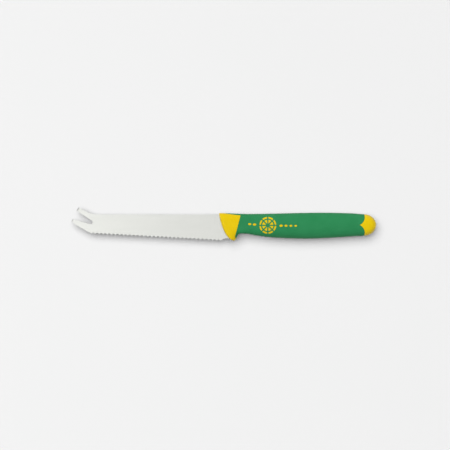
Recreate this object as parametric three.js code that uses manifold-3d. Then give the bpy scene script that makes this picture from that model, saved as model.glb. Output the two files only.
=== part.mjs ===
// A citrus knife lying on its side: a forked, scalloped steel blade with a hidden tang, a yellow core moulded
// round the tang, a green grip moulded over the core, and a yellow cap that plugs the butt.
// Millimetres. The fork points to -X, the butt to +X, the spine to +Y, and +Z is up.
// While it is shaped, x = 0 is the handle's top front corner, y = 0 the handle's axis and z = 0 the middle of
// the blade's thickness. At the end the knife moves up to lie on z = 0, centred on the origin.
import * as THREE from "three";
import { LoftGeometry } from "three/addons/geometries/LoftGeometry.js";
import { mergeVertices } from "three/addons/utils/BufferGeometryUtils.js";
import Module from "manifold-3d";

const wasm = await Module();
wasm.setup();

// Blade
const bladeLength = 110; // lower fork tip to the handle's front corner
const bladeThickness = 1.5;
const spineRise = 7.85; // spine above the axis
const forkEdgeDrop = 6.35; // tooth tips below the axis, at the fork
const heelDrop = 11.8; // heel tooth below the axis
const heelSetback = 1.05; // heel tooth behind the handle's front corner
const choilRadius = 5; // hollow behind the heel tooth
const rootDrop = 9.45; // blade's lower edge where it enters the handle

// Fork
const spineBend = 15.1; // lower fork tip to where the spine turns up
const bendEasing = 2.5; // rounded length on each side of that turn
const upperTipSetback = 4.5; // behind the lower tip
const upperTipRise = 11.95;
const upperTipWidth = 2.85;
const upperProngAngle = 30.8; // degrees above the spine's line
const lowerTipRise = 3.3;
const lowerTipWidth = 2.5;
const lowerProngAngle = 22;
const lowerProngBow = 0.65; // belly of the lower prong's underside
const notchSetback = 14.4; // lower fork tip to the centre of the notch's round end
const notchRise = 2.1;
const notchRadius = 1.45;
const tipBevel = 1.6; // ground length of each prong's tip
const tipThickness = 0.5;

// Scalloped edge, ground from below
const teethSetback = 15; // lower fork tip to the first tooth
const toothPitch = 3.01;
const toothDepth = 0.85;
const toothLand = 0.2; // flat left on each tooth
const scallopTilt = 55; // degrees between the grinding wheel's axis and the blade's face
const bevelHeight = 4;
const edgeThickness = 0.4;

// Tang
const tangWall = 10; // core between the tang's end and the cap's socket
const tangRise = 5.2;
const tangDrop = 2.9;
const tangRound = 3;
const upperShoulder = 1; // where the spine starts down to the tang
const lowerShoulder = 9.4; // where the root's lower edge ends
const shoulderLength = 4;
const lockHoleRadius = 2.2;
const lockHoleSetback = 8.7; // last hole before the tang's end
const lockHolePitch = 21;
const lockHoleCount = 3;

// Handle: heights above and below the axis, at places behind the front corner
const handleLength = 116.8;
const frontRise = 9;
const waistRise = 8.25;
const waistAt = 22;
const crownRise = 9.15;
const crownAt = 76;
const rearRise = 8.8;
const rearSetback = 12; // before the rounded end
const buttRise = 7.95;
const guardDrop = 11.8;
const fingerDrop = 6.4;
const fingerFlat = 2.5; // level length of the finger notch
const indexDrop = 7.75;
const indexAt = 27.5;
const palmDrop = 9.5;
const palmAt = 43;
const bellyDrop = 10.15;
const bellyAt = 64;
const buttDrop = 7.95;
const buttLength = 8.6; // rounded end

// Handle: front edge and guard
const frontLean = 2.6; // how far the front edge leans back
const frontSweep = 8.4; // how much further it sweeps back to the guard's tip
const guardRound = 1.5;
const guardBackAngle = 67; // degrees
const fingerRadius = 3.4;
const uprightAt = 24; // from here on the sections stand upright

// Handle: half thickness
const noseHalf = 0.4;
const noseCrown = 0.2; // how far the front face stands out in the middle
const frontHalf = 2.6;
const frontRound = 2.4; // length of the rounding behind the front edge
const bolsterHalf = 4.9;
const waistHalf = 5.4;
const swellHalf = 7;
const swellStart = 45; // the swell is level from here, so the knife lies on a flat
const swellSetback = 22; // and ends this far before the rounded end
const buttHalf = 6.3;
const squareness = 2.6; // 2 is an ellipse, more is squarer

// Grip, cap and how they join the core
const mouldGap = 0.25;
const gripWall = 2;
const bolsterBackAt = 14.05; // back of the bolster, on the axis
const bolsterBackLean = 14.4; // degrees
const guardTipHeight = 2; // bolster's lobe under the grip
const tongueSetback = 3; // front end of the grip's tongue on the spine
const tongueFrontWidth = 4;
const tongueBackWidth = 5.6;
const tongueDepth = 0.8;
const anchorGrooveDepth = 0.9; // grooves that lock the grip to the core
const anchorGrooveWidth = 2.5;
const anchorGrooveSetback = 11.7; // last groove before the end of the core's sleeve
const anchorGroovePitch = 9;
const anchorGrooveCount = 3;
const sleeveStart = 0.1; // share of the way from the front edge to the upright sections
const plugLength = 10.85; // cap's edge to the end of the core's sleeve
const capLength = 8.25; // butt end to the cap's edge at the top and bottom
const lobeRadius = 7.25; // the grip's two round lobes over the cap
const lobeRise = 6.2;
const spigotRadius = 3;
const spigotLength = 7;

// Inlay: a citrus wheel and a row of pips, moulded as lands of the core
const wheelAt = 36;
const wheelSegments = 8;
const wheelWeb = 1;
const fleshRadius = 4.1;
const rindWidth = 1.1;
const pipLength = 2.5;
const pipWidth = 1.6;
const pipPitch = 3.6;
const pipTaper = 0.92; // each pip to the one nearer the wheel
const pipsBefore = 2;
const pipsBehind = 4;
const landFloor = 2.2; // lands start this high over the blade's middle

// How finely round shapes are faceted
const ringSides = 24;
const arcSteps = 6;
const scallopSides = 28;
const frontSteps = 4;
const blendSteps = 9;
const blendEase = 1.6; // crowds the sections towards the guard
const sectionStep = 5.25;
const buttSteps = 6;
const margin = 20; // how far cutting shapes reach past the knife

const tipX = -bladeLength;
const guardX = frontLean + frontSweep;
const buttX = handleLength - buttLength;
const capEdgeX = handleLength - capLength;
const sleeveEnd = capEdgeX - plugLength;
const tangEnd = sleeveEnd - spigotLength - tangWall;
const rindInner = fleshRadius + wheelWeb;
const rindOuter = rindInner + rindWidth;
const halfBlade = bladeThickness / 2;

function radians(degrees) {
  return THREE.MathUtils.degToRad(degrees);
}

// A closed geometry as a solid.
function solidFrom(geometry) {
  const plain = new THREE.BufferGeometry().copy(geometry);
  plain.deleteAttribute("normal");
  plain.deleteAttribute("uv");
  const merged = mergeVertices(plain);
  const mesh = new wasm.Mesh({
    numProp: 3,
    vertProperties: merged.attributes.position.array,
    triVerts: new Uint32Array(merged.index.array),
  });
  return new wasm.Manifold(mesh);
}

function meshFrom(name, solid, material) {
  const { vertProperties, triVerts } = solid.getMesh();
  const geometry = new THREE.BufferGeometry();
  geometry.setAttribute("position", new THREE.BufferAttribute(vertProperties, 3));
  geometry.setIndex(new THREE.BufferAttribute(triVerts, 1));
  const faceted = geometry.toNonIndexed();
  faceted.computeVertexNormals();
  const mesh = new THREE.Mesh(faceted, material);
  mesh.name = name;
  return mesh;
}

// An outline in the XY plane, made solid between two heights.
function prismGeometry(outline, low, high) {
  const settings = { depth: high - low, bevelEnabled: false, curveSegments: arcSteps };
  return new THREE.ExtrudeGeometry(outline, settings).translate(0, 0, low);
}

function prism(outline, low, high) {
  return solidFrom(prismGeometry(outline, low, high));
}

function outlineOf(points) {
  return new THREE.Shape(points.map(([x, y]) => new THREE.Vector2(x, y)));
}

function circlePath(x, y, radius) {
  return new THREE.Path().absarc(x, y, radius, 0, 2 * Math.PI);
}

function joined(solids) {
  return solids.reduce((whole, solid) => whole.add(solid));
}

// A smooth curve through points in order of x, with no waves between them.
function curveThrough(points) {
  const rise = (i) => (points[i + 1][1] - points[i][1]) / (points[i + 1][0] - points[i][0]);
  const last = points.length - 1;
  const slopes = points.map((point, i) => {
    if (i === 0) return rise(0);
    if (i === last) return rise(last - 1);
    const before = rise(i - 1);
    const after = rise(i);
    return before * after > 0 ? (2 * before * after) / (before + after) : 0;
  });
  return (x) => {
    const next = points.findIndex((point) => point[0] >= x);
    if (next === 0) return points[0][1];
    if (next < 0) return points[last][1];
    const [x0, y0] = points[next - 1];
    const [x1, y1] = points[next];
    const t = (x - x0) / (x1 - x0);
    const bend0 = slopes[next - 1] * (x1 - x0) - (y1 - y0);
    const bend1 = (y1 - y0) - slopes[next] * (x1 - x0);
    return y0 + t * (y1 - y0) + t * (1 - t) * ((1 - t) * bend0 + t * bend1);
  };
}

// Blade outline

function prongTip(x, y, angle, width) {
  const across = new THREE.Vector2(Math.sin(angle), Math.cos(angle)).multiplyScalar(width / 2);
  const centre = new THREE.Vector2(x, y);
  return { centre, angle, width, upper: centre.clone().add(across), lower: centre.clone().sub(across) };
}

const lowerAngle = radians(lowerProngAngle);
const lowerTipX = tipX + (lowerTipWidth / 2) * Math.sin(lowerAngle);
const upperTip = prongTip(tipX + upperTipSetback, upperTipRise, radians(upperProngAngle), upperTipWidth);
const lowerTip = prongTip(lowerTipX, lowerTipRise, lowerAngle, lowerTipWidth);

const toothCount = Math.floor((bladeLength - teethSetback + heelSetback) / toothPitch);
const firstToothX = heelSetback - toothCount * toothPitch;

// The line that all the tooth tips stand on.
function toothLine(x) {
  const along = (x - tipX - teethSetback) / (heelSetback - tipX - teethSetback);
  return -THREE.MathUtils.lerp(forkEdgeDrop, heelDrop, along);
}

// Angle on a circle where the straight line from a point touches it.
function touchAngle(point, centre, radius, side) {
  const toPoint = point.clone().sub(centre);
  return toPoint.angle() + side * Math.acos(radius / toPoint.length());
}

function traceFork(outline) {
  const bend = new THREE.Vector2(tipX + spineBend, spineRise);
  const eased = bend.clone().lerp(upperTip.upper, bendEasing / bend.distanceTo(upperTip.upper));
  outline.lineTo(bend.x + bendEasing, bend.y);
  outline.quadraticCurveTo(bend.x, bend.y, eased.x, eased.y);
  outline.lineTo(upperTip.upper.x, upperTip.upper.y);
  outline.lineTo(upperTip.lower.x, upperTip.lower.y);

  const notch = new THREE.Vector2(tipX + notchSetback, notchRise);
  const from = touchAngle(upperTip.lower, notch, notchRadius, -1);
  const to = touchAngle(lowerTip.upper, notch, notchRadius, 1);
  outline.absarc(notch.x, notch.y, notchRadius, from, to, true);
  outline.lineTo(lowerTip.upper.x, lowerTip.upper.y);
  outline.lineTo(lowerTip.lower.x, lowerTip.lower.y);

  const edge = new THREE.Vector2(firstToothX, toothLine(firstToothX));
  const chord = edge.clone().sub(lowerTip.lower).normalize();
  const middle = edge.clone().add(lowerTip.lower).multiplyScalar(0.5);
  const pull = middle.add(new THREE.Vector2(chord.y, -chord.x).multiplyScalar(2 * lowerProngBow));
  outline.quadraticCurveTo(pull.x, pull.y, edge.x, edge.y);
}

function traceHeel(outline) {
  const centreY = -rootDrop - choilRadius;
  const reach = Math.sqrt(choilRadius ** 2 - (-heelDrop - centreY) ** 2);
  const centreX = heelSetback + reach;
  outline.lineTo(heelSetback, -heelDrop);
  outline.absarc(centreX, centreY, choilRadius, Math.atan2(-heelDrop - centreY, -reach), Math.PI / 2, true);
}

// From the root's lower edge round the tang's end to the spine, grown by a clearance.
function traceTang(outline, grow) {
  outline.lineTo(lowerShoulder + grow, -rootDrop - grow);
  outline.lineTo(lowerShoulder + shoulderLength + grow, -tangDrop - grow);
  outline.lineTo(tangEnd - tangRound, -tangDrop - grow);
  outline.absarc(tangEnd - tangRound, tangRound - tangDrop, tangRound + grow, -Math.PI / 2, 0);
  outline.absarc(tangEnd - tangRound, tangRise - tangRound, tangRound + grow, 0, Math.PI / 2);
  outline.lineTo(upperShoulder + shoulderLength + grow, tangRise + grow);
  outline.lineTo(upperShoulder + grow, spineRise + grow);
}

function lockHoles(radius) {
  return Array.from({ length: lockHoleCount }, (unused, i) =>
    circlePath(tangEnd - lockHoleSetback - i * lockHolePitch, 0, radius),
  );
}

function bladeOutline() {
  const outline = new THREE.Shape().moveTo(upperShoulder, spineRise);
  traceFork(outline);
  traceHeel(outline);
  traceTang(outline, 0);
  outline.holes = lockHoles(lockHoleRadius);
  return outline;
}

// Blade grinds

// One scallop is cut by a tilted cylinder, which takes the tooth's width and depth off the top face.
function scallop(index) {
  const stretch = 1 / Math.cos(radians(scallopTilt));
  const halfChord = (toothPitch - toothLand) / 2;
  const radius = (stretch * (halfChord ** 2 + (toothDepth / stretch) ** 2)) / (2 * toothDepth);
  const x = firstToothX + (index + 0.5) * toothPitch;
  const y = toothLine(x) + toothDepth - radius * stretch;
  return solidFrom(
    new THREE.CylinderGeometry(radius, radius, margin, scallopSides)
      .rotateX(radians(scallopTilt) - Math.PI / 2)
      .translate(x, y, halfBlade),
  );
}

// A long wedge under the edge thins the blade from bevelHeight down to the teeth.
function edgeBevel() {
  const start = new THREE.Vector2(firstToothX, toothLine(firstToothX));
  const end = new THREE.Vector2(heelSetback, -heelDrop);
  const slope = (bladeThickness - edgeThickness) / bevelHeight;
  const drop = bevelHeight + choilRadius;
  const section = outlineOf([
    [0, 0],
    [-drop, slope * drop],
    [-drop, -margin],
    [0, -margin],
  ]);
  const settings = { depth: start.distanceTo(end), bevelEnabled: false };
  return solidFrom(
    new THREE.ExtrudeGeometry(section, settings)
      .rotateX(Math.PI / 2)
      .rotateZ(Math.PI / 2)
      .translate(0, bevelHeight, -halfBlade)
      .rotateZ(end.sub(start).angle())
      .translate(start.x, start.y, 0),
  );
}

// A wedge over each prong's tip leaves it tipThickness thick.
function tipGrind({ centre, angle, width }) {
  const slope = (bladeThickness - tipThickness) / tipBevel;
  const section = outlineOf([
    [tipBevel, halfBlade],
    [-width, halfBlade - slope * (tipBevel + width)],
    [-width, margin],
    [tipBevel, margin],
  ]);
  const settings = { depth: 2 * width, bevelEnabled: false };
  return solidFrom(
    new THREE.ExtrudeGeometry(section, settings)
      .translate(0, 0, -width)
      .rotateX(Math.PI / 2)
      .rotateZ(-angle)
      .translate(centre.x, centre.y, 0),
  );
}

function bladeSolid() {
  const scallops = Array.from({ length: toothCount }, (unused, i) => scallop(i));
  return prism(bladeOutline(), -halfBlade, halfBlade)
    .subtract(edgeBevel())
    .subtract(joined(scallops))
    .subtract(tipGrind(upperTip))
    .subtract(tipGrind(lowerTip));
}

// Handle surface

// The guard's back is a straight line between the round tip and the round finger notch.
const backAngle = radians(guardBackAngle);
const guardBack = {
  lowX: guardX + guardRound * Math.sin(backAngle),
  lowY: -guardDrop + guardRound * (1 - Math.cos(backAngle)),
  highY: -fingerDrop - fingerRadius * (1 - Math.cos(backAngle)),
};
guardBack.highX = guardBack.lowX + (guardBack.highY - guardBack.lowY) / Math.tan(backAngle);
const fingerX = guardBack.highX + fingerRadius * Math.sin(backAngle);

function guardLine(x) {
  if (x <= guardX) return -guardDrop;
  if (x < guardBack.lowX) return -guardDrop + guardRound - Math.sqrt(guardRound ** 2 - (x - guardX) ** 2);
  if (x < guardBack.highX) return guardBack.lowY + (x - guardBack.lowX) * Math.tan(backAngle);
  return -fingerDrop - fingerRadius + Math.sqrt(fingerRadius ** 2 - (x - fingerX) ** 2);
}

const backLine = curveThrough([
  [0, frontRise],
  [waistAt, waistRise],
  [crownAt, crownRise],
  [buttX - rearSetback, rearRise],
  [buttX, buttRise],
]);
const palmLine = curveThrough([
  [fingerX, -fingerDrop],
  [fingerX + fingerFlat, -fingerDrop],
  [indexAt, -indexDrop],
  [palmAt, -palmDrop],
  [bellyAt, -bellyDrop],
  [buttX, -buttDrop],
]);
const thicknessLine = curveThrough([
  [0, bolsterHalf],
  [waistAt, waistHalf],
  [swellStart, swellHalf],
  [buttX - swellSetback, swellHalf],
  [buttX, buttHalf],
]);

function buttRounding(x) {
  return x <= buttX ? 1 : Math.sqrt(1 - ((x - buttX) / buttLength) ** 2);
}

function topLine(x) {
  return backLine(x) * buttRounding(x);
}

function underLine(x) {
  return (x < fingerX ? guardLine(x) : palmLine(x)) * buttRounding(x);
}

// The front edge, from the top corner (share 0) down to the guard's tip (share 1).
function frontEdge(share) {
  return frontLean * share + frontSweep * (1 - Math.sqrt(1 - share ** 2));
}

// A section that is bent like the front edge at blend 0 and upright at blend 1.
function frontSection(blend) {
  const topX = blend * uprightAt;
  const rounding = Math.sqrt(1 - Math.max(0, 1 - topX / frontRound) ** 2);
  return {
    place: (share) => THREE.MathUtils.lerp(frontEdge(share), uprightAt, blend),
    half: THREE.MathUtils.lerp(frontHalf, thicknessLine(topX), rounding),
  };
}

function uprightSection(x) {
  return { place: () => x, half: thicknessLine(x) * buttRounding(x) };
}

function squared(value) {
  return Math.sign(value) * Math.abs(value) ** (2 / squareness);
}

// The points of one section, drawn in by an inset.
function ring({ place, half }, inset) {
  const top = topLine(place(0)) - inset;
  const bottom = underLine(place(1)) + inset;
  return Array.from({ length: ringSides }, (unused, i) => {
    const angle = ((i + 0.5) / ringSides) * 2 * Math.PI;
    const share = (1 - squared(Math.cos(angle))) / 2;
    const y = THREE.MathUtils.lerp(top, bottom, share);
    return new THREE.Vector3(place(share), y, (half - inset) * squared(Math.sin(angle)));
  });
}

function loft(rings) {
  return solidFrom(new LoftGeometry(rings, { capStart: true, capEnd: true }));
}

// Front sections from a blend to the upright ones, close together where the front edge is rounded.
function frontSections(start) {
  const rounded = frontRound / uprightAt;
  const near = Array.from({ length: frontSteps }, (unused, i) =>
    rounded * (1 - Math.cos(((i / frontSteps) * Math.PI) / 2)),
  );
  const far = Array.from({ length: blendSteps }, (unused, i) =>
    THREE.MathUtils.lerp(rounded, 1, (i / blendSteps) ** blendEase),
  );
  const between = [...near, ...far].filter((blend) => blend > start);
  return [start, ...between].map(frontSection);
}

function uprightPlaces(from, to) {
  const count = Math.ceil((to - from) / sectionStep);
  return Array.from({ length: count + 1 }, (unused, i) => THREE.MathUtils.lerp(from, to, i / count));
}

function handleSolid() {
  const nose = { place: (share) => frontEdge(share) - noseCrown, half: noseHalf };
  const straight = uprightPlaces(uprightAt, buttX);
  const end = Array.from({ length: buttSteps }, (unused, i) =>
    buttX + buttLength * Math.sin(((i + 1) / (buttSteps + 0.5)) * (Math.PI / 2)),
  );
  const sections = [nose, ...frontSections(0), ...[...straight, ...end].map(uprightSection)];
  return loft(sections.map((section) => ring(section, 0)));
}

// The sleeve of the core, with its anchor grooves, or the grip's bore round it.
function sleeveSolid(inset, end) {
  const half = anchorGrooveWidth / 2 - (gripWall - inset);
  const rings = frontSections(sleeveStart).map((section) => ring(section, inset));
  let reached = uprightAt;
  for (let left = anchorGrooveCount - 1; left >= 0; left--) {
    const middle = sleeveEnd - anchorGrooveSetback - left * anchorGroovePitch;
    const before = uprightPlaces(reached, middle - half).map(uprightSection);
    const inside = [middle - half, middle + half].map(uprightSection);
    rings.push(...before.map((section) => ring(section, inset)));
    rings.push(...inside.map((section) => ring(section, inset + anchorGrooveDepth)));
    reached = middle + half;
  }
  const after = uprightPlaces(reached, end).map(uprightSection);
  rings.push(...after.map((section) => ring(section, inset)));
  return loft(rings);
}

// What divides the handle's pieces

// Everything in front of the bolster's back face, with the guard's lobe below.
function bolsterRegion(shift) {
  const lean = Math.tan(radians(bolsterBackLean));
  const backX = (y) => bolsterBackAt + shift + y * lean;
  const lobeY = -guardDrop + guardTipHeight + shift;
  const outline = new THREE.Shape().moveTo(-margin, margin);
  outline.lineTo(backX(margin), margin);
  outline.lineTo(backX(lobeY + guardRound), lobeY + guardRound);
  outline.quadraticCurveTo(backX(lobeY), lobeY, backX(lobeY) + guardRound, lobeY);
  outline.lineTo(margin, lobeY);
  outline.lineTo(margin, -margin);
  outline.lineTo(-margin, -margin);
  return prism(outline, -margin, margin);
}

// Everything behind the cap's scalloped edge, which the grip's two lobes overlap.
function capRegion(shift) {
  const edgeX = capEdgeX - shift;
  const radius = lobeRadius - shift;
  const centreX = edgeX - radius;
  const meet = Math.asin(lobeRise / radius);
  const outline = new THREE.Shape().moveTo(edgeX, margin);
  outline.lineTo(edgeX, lobeRise);
  outline.absarc(centreX, lobeRise, radius, 0, -meet, true);
  outline.absarc(centreX, -lobeRise, radius, meet, 0, true);
  outline.lineTo(edgeX, -margin);
  outline.lineTo(handleLength + margin, -margin);
  outline.lineTo(handleLength + margin, margin);
  return prism(outline, -margin, margin);
}

// The tongue on the spine, seen from above, made solid down to half the waist's height.
function tongueRegion(grow) {
  const front = tongueFrontWidth / 2 + grow;
  const back = tongueBackWidth / 2 + grow;
  const noseX = tongueSetback - grow;
  const rootX = bolsterBackAt + waistRise * Math.tan(radians(bolsterBackLean));
  const outline = new THREE.Shape().moveTo(uprightAt, back);
  outline.lineTo(rootX, back);
  outline.quadraticCurveTo(noseX, front, noseX, 0);
  outline.quadraticCurveTo(noseX, -front, rootX, -back);
  outline.lineTo(uprightAt, -back);
  return solidFrom(prismGeometry(outline, waistRise / 2, margin).rotateX(-Math.PI / 2));
}

// The handle drawn in all round, from the front edge to the upright sections.
function frontInset(inset) {
  const sections = [...frontSections(0), uprightSection(uprightAt + margin)];
  return loft(sections.map((section) => ring(section, inset)));
}

function tongueSolid(body) {
  return body.intersect(tongueRegion(0)).subtract(frontInset(tongueDepth));
}

function tongueGroove() {
  return tongueRegion(mouldGap).subtract(frontInset(tongueDepth + mouldGap));
}

// Inlay outlines, grown by a clearance

function wheelParts(grow) {
  const halfWeb = wheelWeb / 2 - grow;
  const halfAngle = Math.PI / wheelSegments;
  const spread = (radius) => halfAngle - Math.asin(halfWeb / radius);
  const fleshSpread = spread(fleshRadius + grow);
  const flesh = new THREE.Shape().absarc(0, 0, fleshRadius + grow, -fleshSpread, fleshSpread);
  flesh.lineTo(halfWeb / Math.sin(halfAngle), 0);
  const rind = new THREE.Shape();
  const outerSpread = spread(rindOuter + grow);
  const innerSpread = spread(rindInner - grow);
  rind.absarc(0, 0, rindOuter + grow, -outerSpread, outerSpread);
  rind.absarc(0, 0, rindInner - grow, innerSpread, -innerSpread, true);
  return [flesh, rind];
}

// A pip before (side -1) or behind (side 1) the wheel, counted outwards.
function pipSolid(side, index, grow, high) {
  const x = wheelAt + side * (rindOuter + (index + 1) * pipPitch);
  const y = (topLine(x) + underLine(x)) / 2;
  const taper = pipTaper ** index;
  const pip = new THREE.Shape();
  pip.absellipse(x, y, (taper * pipLength) / 2 + grow, (taper * pipWidth) / 2 + grow, 0, 2 * Math.PI);
  return prism(pip, landFloor, high);
}

function inlaySolid(grow) {
  const high = swellHalf + margin;
  const wheelY = (topLine(wheelAt) + underLine(wheelAt)) / 2;
  const lands = [];
  for (let i = 0; i < wheelSegments; i++) {
    const turn = ((i + 0.5) * 2 * Math.PI) / wheelSegments;
    for (const part of wheelParts(grow)) {
      lands.push(solidFrom(prismGeometry(part, landFloor, high).rotateZ(turn).translate(wheelAt, wheelY, 0)));
    }
  }
  for (let i = 0; i < pipsBefore; i++) lands.push(pipSolid(-1, i, grow, high));
  for (let i = 0; i < pipsBehind; i++) lands.push(pipSolid(1, i, grow, high));
  return joined(lands);
}

// Handle pieces

// Room for the blade's root and tang, with the lock pillars left standing.
function tangPocket() {
  const outline = new THREE.Shape().moveTo(-margin, -rootDrop - mouldGap);
  traceTang(outline, mouldGap);
  outline.lineTo(-margin, spineRise + mouldGap);
  outline.holes = lockHoles(lockHoleRadius - mouldGap);
  return prism(outline, -halfBlade - mouldGap, halfBlade + mouldGap);
}

// The cap's spigot, or the core's socket round it.
function spigotSolid(grow) {
  const length = spigotLength + grow + capEdgeX - sleeveEnd;
  return solidFrom(
    new THREE.CylinderGeometry(spigotRadius + grow, spigotRadius + grow, length, ringSides)
      .rotateZ(Math.PI / 2)
      .translate(capEdgeX - length / 2, 0, 0),
  );
}

function coreSolid(body) {
  return body
    .intersect(bolsterRegion(0))
    .subtract(tongueGroove())
    .add(sleeveSolid(gripWall, sleeveEnd))
    .add(body.intersect(inlaySolid(0)))
    .subtract(tangPocket())
    .subtract(spigotSolid(mouldGap));
}

function gripSolid(body) {
  return body
    .subtract(bolsterRegion(mouldGap))
    .add(tongueSolid(body))
    .subtract(sleeveSolid(gripWall - mouldGap, capEdgeX))
    .subtract(inlaySolid(mouldGap))
    .subtract(capRegion(mouldGap));
}

// The dome shows, and the plug fills the grip's bore behind the sleeve.
function capSolid(body) {
  const plug = uprightPlaces(sleeveEnd + mouldGap, capEdgeX).map((x) => ring(uprightSection(x), gripWall));
  return body.intersect(capRegion(0)).add(loft(plug)).add(spigotSolid(0));
}

const steel = new THREE.MeshStandardMaterial({ color: 0xdcdcd8, roughness: 0.32, metalness: 1 });
const yellowCore = new THREE.MeshStandardMaterial({ color: 0xebca1a, roughness: 0.4, metalness: 0 });
const yellowCap = new THREE.MeshStandardMaterial({ color: 0xebca1a, roughness: 0.38, metalness: 0 });
const green = new THREE.MeshStandardMaterial({ color: 0x318957, roughness: 0.62, metalness: 0 });

const handle = handleSolid();
const knife = new THREE.Group();
knife.add(meshFrom("blade", bladeSolid(), steel));
knife.add(meshFrom("handle_core", coreSolid(handle), yellowCore));
knife.add(meshFrom("grip", gripSolid(handle), green));
knife.add(meshFrom("butt_cap", capSolid(handle), yellowCap));

const box = new THREE.Box3().setFromObject(knife);
const centre = box.getCenter(new THREE.Vector3());
knife.position.set(-centre.x, -centre.y, -box.min.z);

const group = new THREE.Group();
group.add(knife);
export default group;
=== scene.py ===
import math

import bpy
import numpy as np
from mathutils import Matrix, Vector


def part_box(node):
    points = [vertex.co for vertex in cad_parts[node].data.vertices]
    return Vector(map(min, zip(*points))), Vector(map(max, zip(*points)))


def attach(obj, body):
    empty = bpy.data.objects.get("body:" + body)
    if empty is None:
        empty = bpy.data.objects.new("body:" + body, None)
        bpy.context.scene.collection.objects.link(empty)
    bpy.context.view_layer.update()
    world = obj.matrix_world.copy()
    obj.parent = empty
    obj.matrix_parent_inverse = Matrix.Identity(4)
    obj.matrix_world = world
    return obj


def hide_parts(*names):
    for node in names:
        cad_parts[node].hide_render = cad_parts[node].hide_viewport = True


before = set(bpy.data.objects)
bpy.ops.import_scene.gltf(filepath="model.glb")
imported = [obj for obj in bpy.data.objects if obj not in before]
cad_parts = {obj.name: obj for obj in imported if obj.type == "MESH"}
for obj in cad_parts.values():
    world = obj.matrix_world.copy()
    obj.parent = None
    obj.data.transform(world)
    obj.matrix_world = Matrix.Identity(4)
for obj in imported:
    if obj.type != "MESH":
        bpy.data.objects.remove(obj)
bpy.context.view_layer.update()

# Citrus knife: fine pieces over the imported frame. Sizes are in mm and read as on the part:
# x = 0 at the handle's top front corner, y = 0 on the handle's axis, z = 0 in the middle of the blade.
mm = 0.001
weldGap = 0.0005  # points this close are one point
sliverSize = 0.002  # faces this thin are cleared away after the cuts
bladeLow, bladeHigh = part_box("blade")
gripLow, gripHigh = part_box("grip")
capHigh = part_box("butt_cap")[1]


def mix(a, b, share):
    return a + (b - a) * share


def toFrame(points):
    return np.array(origin) + mm * np.array(points, dtype=float)  # mm on the knife to metres in the frame


# Small helpers for operators

def deselectAll():
    bpy.ops.object.select_all(action="DESELECT")


def makeActive(piece):
    deselectAll()
    piece.select_set(True)
    bpy.context.view_layer.objects.active = piece


def nameIt(piece, name):
    piece.name = name
    piece.data.name = name
    return piece


# Doubles are merged, and the faces turned outwards.
def closeUp(piece):
    makeActive(piece)
    bpy.ops.object.mode_set(mode="EDIT")
    bpy.ops.mesh.select_all(action="SELECT")
    bpy.ops.mesh.remove_doubles(threshold=weldGap * mm)
    bpy.ops.mesh.normals_make_consistent(inside=False)
    bpy.ops.object.mode_set(mode="OBJECT")


def applyBoolean(piece, cutter, operation):
    makeActive(piece)
    bpy.ops.object.modifier_add(type="BOOLEAN")
    modifier = piece.modifiers[-1]
    modifier.operation = operation
    modifier.object = cutter
    modifier.solver = "EXACT"
    bpy.ops.object.modifier_apply(modifier=modifier.name)
    makeActive(cutter)
    bpy.ops.object.delete()


# Slivers that the cuts leave are closed, and points that stand in the middle of an edge are dissolved.
def clearSlivers(piece):
    makeActive(piece)
    bpy.ops.object.mode_set(mode="EDIT")
    bpy.ops.mesh.select_mode(type="VERT")
    bpy.ops.mesh.select_all(action="SELECT")
    bpy.ops.mesh.remove_doubles(threshold=sliverSize * mm)
    bpy.ops.mesh.dissolve_degenerate(threshold=sliverSize * mm)
    bpy.ops.mesh.select_all(action="DESELECT")
    bpy.ops.object.mode_set(mode="OBJECT")
    ends = np.empty(2 * len(piece.data.edges), dtype=int)
    piece.data.edges.foreach_get("vertices", ends)
    edgeCount = np.bincount(ends, minlength=len(piece.data.vertices))
    piece.data.vertices.foreach_set("select", edgeCount == 2)
    bpy.ops.object.mode_set(mode="EDIT")
    bpy.ops.mesh.dissolve_verts()
    bpy.ops.object.mode_set(mode="OBJECT")


def smoothByAngle(piece, degrees):
    makeActive(piece)
    bpy.ops.object.shade_smooth_by_angle(angle=math.radians(degrees))


# A ring of points is extruded once for each section, and each ring is then laid on its section.
def loftRings(name, rings):
    deselectAll()
    bpy.ops.mesh.primitive_circle_add(vertices=len(rings[0]))
    piece = nameIt(bpy.context.object, name)
    bpy.ops.object.mode_set(mode="EDIT")
    for _ in rings[1:]:
        bpy.ops.mesh.extrude_edges_move()
    bpy.ops.object.mode_set(mode="OBJECT")
    piece.data.vertices.foreach_set("co", toFrame(rings).ravel())
    piece.data.update()
    closeUp(piece)
    return piece


# An outline is filled and extruded up from its low side.
def prismFrom(name, outline, low, high):
    deselectAll()
    bpy.ops.mesh.primitive_circle_add(vertices=len(outline))
    piece = nameIt(bpy.context.object, name)
    piece.data.vertices.foreach_set("co", toFrame([(x, y, low) for x, y in outline]).ravel())
    piece.data.update()
    bpy.ops.object.mode_set(mode="EDIT")
    bpy.ops.mesh.select_all(action="SELECT")
    bpy.ops.mesh.edge_face_add()
    bpy.ops.mesh.extrude_region_move(TRANSFORM_OT_translate={"value": (0, 0, (high - low) * mm)})
    bpy.ops.object.mode_set(mode="OBJECT")
    closeUp(piece)
    return piece


# A block with one face on a grinding plane: it lies over (1) or under (-1) the plane.
def grindBlock(name, size, matrix, side):
    deselectAll()
    bpy.ops.mesh.primitive_cube_add(size=1)
    block = nameIt(bpy.context.object, name)
    long, wide, deep = size
    block.data.transform(Matrix.Diagonal((long * mm, wide * mm, deep * mm, 1)))
    block.data.transform(Matrix.Translation((0, 0, side * deep * mm / 2)))
    block.data.transform(matrix)
    return block


def joinPieces(name, pieces):
    deselectAll()
    for piece in pieces:
        piece.select_set(True)
    bpy.context.view_layer.objects.active = pieces[0]
    bpy.ops.object.join()
    return nameIt(bpy.context.object, name)


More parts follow.
